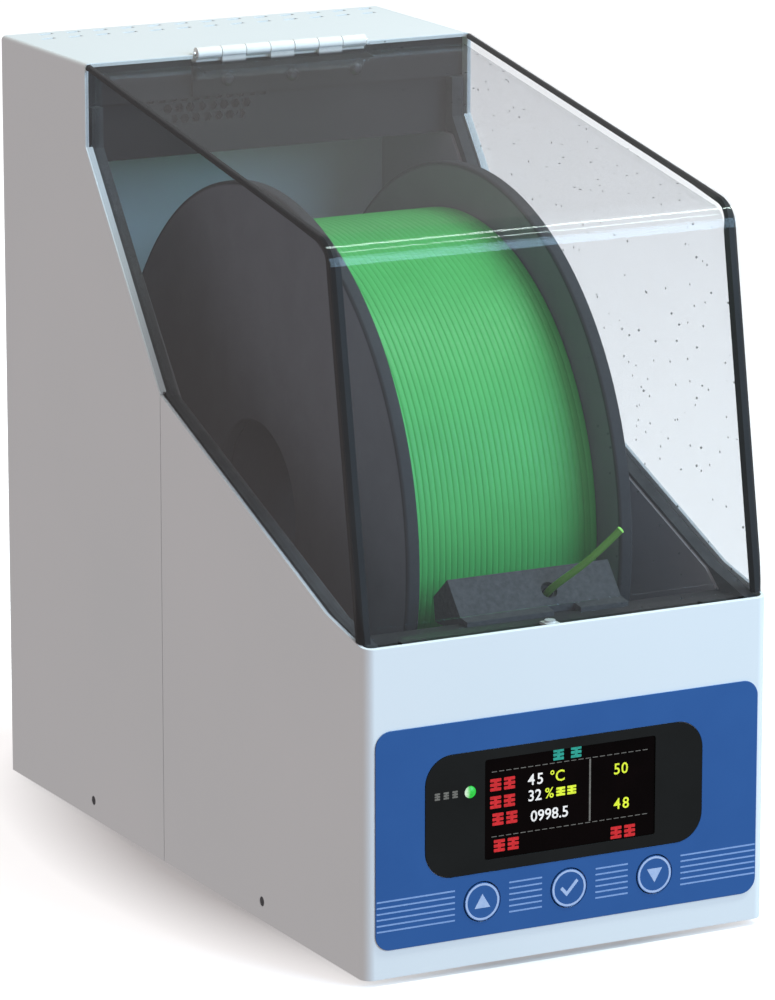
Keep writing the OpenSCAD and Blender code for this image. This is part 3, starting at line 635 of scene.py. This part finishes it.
def add_lid_edge_shade(side):
    """A dark strip inside the edge where two clear sheets meet: painted shade for the dark line
    that internal reflection shows along such an edge.

    It widens a little from the hinge to the brow, and more from the brow down."""
    low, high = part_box("lid_cover")
    half, front = high.x, low.y
    bend, skin = 3.5 * MM, 0.12 * MM
    hinge_y, reach_y = 0.0614, 0.165
    brow_z, brow_span = 0.221, 0.012
    thin, roof_gain, pane_gain = 1.6, 0.2, 1.5
    inside = Vector((-40 * MM, 150 * MM))
    line = lid_line()
    sections = []
    for i, point in enumerate(line):
        way = (line[min(i + 1, len(line) - 1)] - line[max(i - 1, 0)]).normalized()
        inward = Vector((-way.y, way.x))
        if inward.dot(inside - point) < 0:
            inward = -inward
        share = min(max((brow_z - point.y) / brow_span, 0), 1)
        size = (thin + roof_gain * (hinge_y - point.x) / reach_y + pane_gain * share) * MM
        section = []
        for across, deep in ((skin + 0.4 * size, skin), (size, skin), (size, size), (skin, size),
                             (skin, skin + 0.4 * size)):
            y, z = point + inward * deep
            x = half - across
            gone = Vector((x - (half - bend), (front + bend) - y))
            if gone.x > 0 and gone.y > 0 and gone.length > bend - skin:
                gone = gone.normalized() * (bend - skin)
                x, y = half - bend + gone.x, front + bend - gone.y
            section.append((side * x, y, z))
        sections.append(section)
    bm = bmesh.new()
    sweep(bm, sections)
    name = "lid_edge_left" if side < 0 else "lid_edge_right"
    place(name, bm, "lid", "clear_sheet", PAINTED_EDGE_SHADE)


# ---- Prints and screen ----

def add_prism(bm, outline, front, thick=0.05 * MM):
    """A thin solid with that outline of (x, z) points in millimetres and its front at y = front."""
    near = [bm.verts.new((x * MM, front, z * MM)) for x, z in outline]
    far = [bm.verts.new((x * MM, front + thick, z * MM)) for x, z in outline]
    count = len(outline)
    bm.faces.new(near)
    bm.faces.new(list(reversed(far)))
    for i in range(count):
        n = (i + 1) % count
        bm.faces.new((near[i], far[i], far[n], near[n]))


def add_bar(bm, x, z, width, height, front):
    """A bar with rounded ends, centred on x and z."""
    w, h = width / 2, height / 2
    corners = [(x - w, z - h), (x + w, z - h), (x + w, z + h), (x - w, z + h)]
    add_prism(bm, [tuple(p) for p in rounded(corners, min(w, h) * 0.45, steps=2)], front)


def add_stroke(bm, points, width, front):
    """A line of that width through points, with mitred corners."""
    points = [Vector(p) for p in points]
    sides = ([], [])
    for i, point in enumerate(points):
        before = (point - points[max(i - 1, 0)]).normalized()
        after = (points[min(i + 1, len(points) - 1)] - point).normalized()
        way = (before + after).normalized()
        square = Vector((-way.y, way.x))
        straight = after if after.length else before
        reach = width / 2 / max(square.dot(Vector((-straight.y, straight.x))), 0.3)
        sides[0].append(tuple(point + square * reach))
        sides[1].append(tuple(point - square * reach))
    add_prism(bm, sides[0] + list(reversed(sides[1])), front)


def add_ring(bm, x, z, outer, inner, front, thick=0.05 * MM, steps=48):
    """A flat ring between two radii, centred on x and z."""
    back = front + thick
    loops = [[bm.verts.new(((x + r * math.cos(t)) * MM, y, (z + r * math.sin(t)) * MM))
              for t in (2 * math.pi * k / steps for k in range(steps))]
             for r, y in ((outer, front), (inner, front), (inner, back), (outer, back))]
    for loop, following in zip(loops, loops[1:] + loops[:1]):
        for k in range(steps):
            n = (k + 1) % steps
            bm.faces.new((loop[k], loop[n], following[n], following[k]))


def add_digits(bm, text, x, z, height, front, spread=1.0):
    """Digits of that height in millimetres, centred on x and z."""
    data = bpy.data.curves.new("digits", "FONT")
    data.body = text
    data.size = 1.0
    data.resolution_u = 3
    data.space_character = spread
    data.offset = 0.012
    data.align_x, data.align_y = "CENTER", "CENTER"
    holder = bpy.data.objects.new("digits", data)
    bpy.context.scene.collection.objects.link(holder)
    bpy.context.view_layer.update()
    graph = bpy.context.evaluated_depsgraph_get()
    mesh = bpy.data.meshes.new_from_object(holder.evaluated_get(graph))
    bpy.data.objects.remove(holder)
    digit_share = 0.7
    scale = height / digit_share * MM
    for vertex in mesh.vertices:
        vertex.co = (x * MM + vertex.co.x * scale, front, z * MM + vertex.co.y * scale)
    bm.from_mesh(mesh)
    bpy.data.meshes.remove(mesh)


def print_front(node, gap=0.03):
    """The Y of prints on the front of a CAD node."""
    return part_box(node)[0].y - gap * MM


def add_prints():
    """The pale lines of the keypad overlay and the signs on its three buttons."""
    front = print_front("keypad_overlay")
    low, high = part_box("keypad_overlay")
    rows, pitch, thick = 6, 1.8, 0.48
    buttons = [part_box(node) for node in ("button_up", "button_ok", "button_down")]
    middles = [(b[0].x + b[1].x) / 2 / MM for b in buttons]
    radius = (buttons[0][1].x - buttons[0][0].x) / 2 / MM
    height = (buttons[0][0].z + buttons[0][1].z) / 2 / MM
    clear = radius + 3.2
    margin = 0.3
    ends = ([low.x / MM + margin] + [m + s * clear for m in middles for s in (-1, 1)]
            + [high.x / MM - margin])
    bm = bmesh.new()
    for start, end in zip(ends[0::2], ends[1::2]):
        for row in range(rows):
            z = height + (row - (rows - 1) / 2) * pitch
            add_bar(bm, (start + end) / 2, z, end - start, thick, front)
    place("overlay_lines", bm, "housing", "overlay_film", PRINT_LINES)
    for name, body, x in zip(("up", "ok", "down"), ("key_up", "key_ok", "key_down"), middles):
        front = print_front("button_" + name)
        bm = bmesh.new()
        add_ring(bm, x, height, radius - 0.2, radius - 0.85, front)
        if name == "ok":
            tick = [(x - 2.6, height + 0.3), (x - 0.8, height - 1.7), (x + 2.8, height + 2.2)]
            add_stroke(bm, tick, 1.0, front)
        else:
            turn = 1 if name == "up" else -1
            add_prism(bm, [(x - 2.6, height - turn * 1.9), (x + 2.6, height - turn * 1.9),
                           (x, height + turn * 2.4)], front)
        place("button_sign_" + name, bm, body, "button_film", PRINT_SIGNS)


def add_label(bm, x, z, width, height, front, marks=2):
    """A stand-in for a short caption: blocks of small bars."""
    pitch = width / marks
    for mark in range(marks):
        left = x - width / 2 + pitch * mark
        for row in (-1, 0, 1):
            add_bar(bm, left + pitch * 0.45, z + row * height * 0.36, pitch * 0.8, height * 0.26,
                    front)
        add_bar(bm, left + pitch * 0.45, z, pitch * 0.22, height * 0.9, front - 0.01 * MM)


def add_screen():
    """What the screen shows: readings in plain digits, captions as blocks, and dividing lines."""
    low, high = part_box("tft_module")
    front = print_front("tft_module", 0.02)
    x0, z0 = (low.x + high.x) / 2 / MM, (low.z + high.z) / 2 / MM
    white, yellow, red, teal, grey = (bmesh.new() for _ in range(5))
    add_digits(white, "45", x0 - 11.6, z0 + 7, 3.3, front, spread=1.25)
    add_digits(white, "32", x0 - 11.9, z0 + 2.1, 3.3, front)
    add_digits(white, "0998.5", x0 - 6.9, z0 - 4.2, 3.3, front)
    add_digits(yellow, "°C", x0 - 4.4, z0 + 7, 3.3, front)
    add_digits(yellow, "%", x0 - 7, z0 + 2.2, 3.1, front)
    add_label(yellow, x0 - 1.2, z0 + 2.3, 7.4, 2.7, front)
    add_digits(yellow, "50", x0 + 17, z0 + 6.4, 3.3, front, spread=1.1)
    add_digits(yellow, "48", x0 + 17.3, z0 - 4.3, 3.3, front, spread=1.25)
    for x, z in ((-22.4, 7.2), (-22.4, 1.9), (-21.6, -3.3), (-21.1, -11.4), (18.1, -12.9)):
        add_label(red, x0 + x, z0 + z, 9.2, 3.8, front)
    for x in (-3.8, 2.1):
        add_label(teal, x0 + x, z0 + 13.6, 4.4, 3.4, front, marks=1)
    dashes, left, span = 22, x0 - 26.6, 53
    for z in (11.2, -8.5):
        for i in range(dashes):
            add_bar(grey, left + span * (i + 0.5) / dashes, z0 + z, 1.7, 0.22, front)
    add_bar(grey, x0 + 6.6, z0 + 1.4, 0.55, 19, front)
    for name, bm, look in (("white", white, INK_WHITE), ("yellow", yellow, INK_YELLOW),
                           ("red", red, INK_RED), ("teal", teal, INK_TEAL),
                           ("grey", grey, INK_GREY)):
        place("screen_" + name, bm, "housing", "screen", look)


def add_lamp_mark():
    """A generic mark of three short bars beside the lamp, in the screen's glowing grey ink: painted
    light, as the mark is print on the window's front.
    """
    low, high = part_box("status_led")
    front = print_front("display_window", 0.02)
    gap, pitch, size = 3.2, 2.9, 2.2
    bm = bmesh.new()
    for i in range(3):
        add_label(bm, low.x / MM - gap - i * pitch, (low.z + high.z) / 2 / MM, size, size, front,
                  marks=1)
    place("lamp_mark", bm, "housing", "window_sheet", INK_GREY)


def add_vent_shade_sheet(name, low, high):
    """A thin dark block behind vent slots: painted shade that keeps the slots dark, from corner low
    to corner high in millimetres.
    """
    bm = bmesh.new()
    bmesh.ops.create_cube(bm, size=1)
    for vertex in bm.verts:
        vertex.co = [(a + b) / 2 * MM + part * (b - a) * MM
                     for a, b, part in zip(low, high, vertex.co)]
    place(name, bm, "housing", "insulation", LOOKS["insulation"])


# ---- Build ----

add_camera()
add_strand()
for node, shown in NODES.items():
    shown.data.materials[0] = SPECIAL.get(node, LOOKS[SLOTS[node]])
for node, width in (("front_shell", 0.45), ("rear_shell", 0.4), ("lid_cover", 0.5),
                    ("guide_block", 0.3), ("keypad_overlay", 0.12), ("display_window", 0.15)):
    softened(node, width * MM)
for node in ("flange_left", "flange_right"):
    add_flange(node)
add_winding()
for side in (-1, 1):
    add_lid_edge_shade(side)
add_prints()
add_screen()
add_lamp_mark()
# Dark sheets inside the back and roof vents: painted shade.
add_vent_shade_sheet("vent_shade_back", (-34, 122.9, 175), (34, 123.7, 221))
add_vent_shade_sheet("vent_shade_roof", (-60, 110.5, 241.9), (60, 122.5, 242.7))
add_studio()
add_floor()
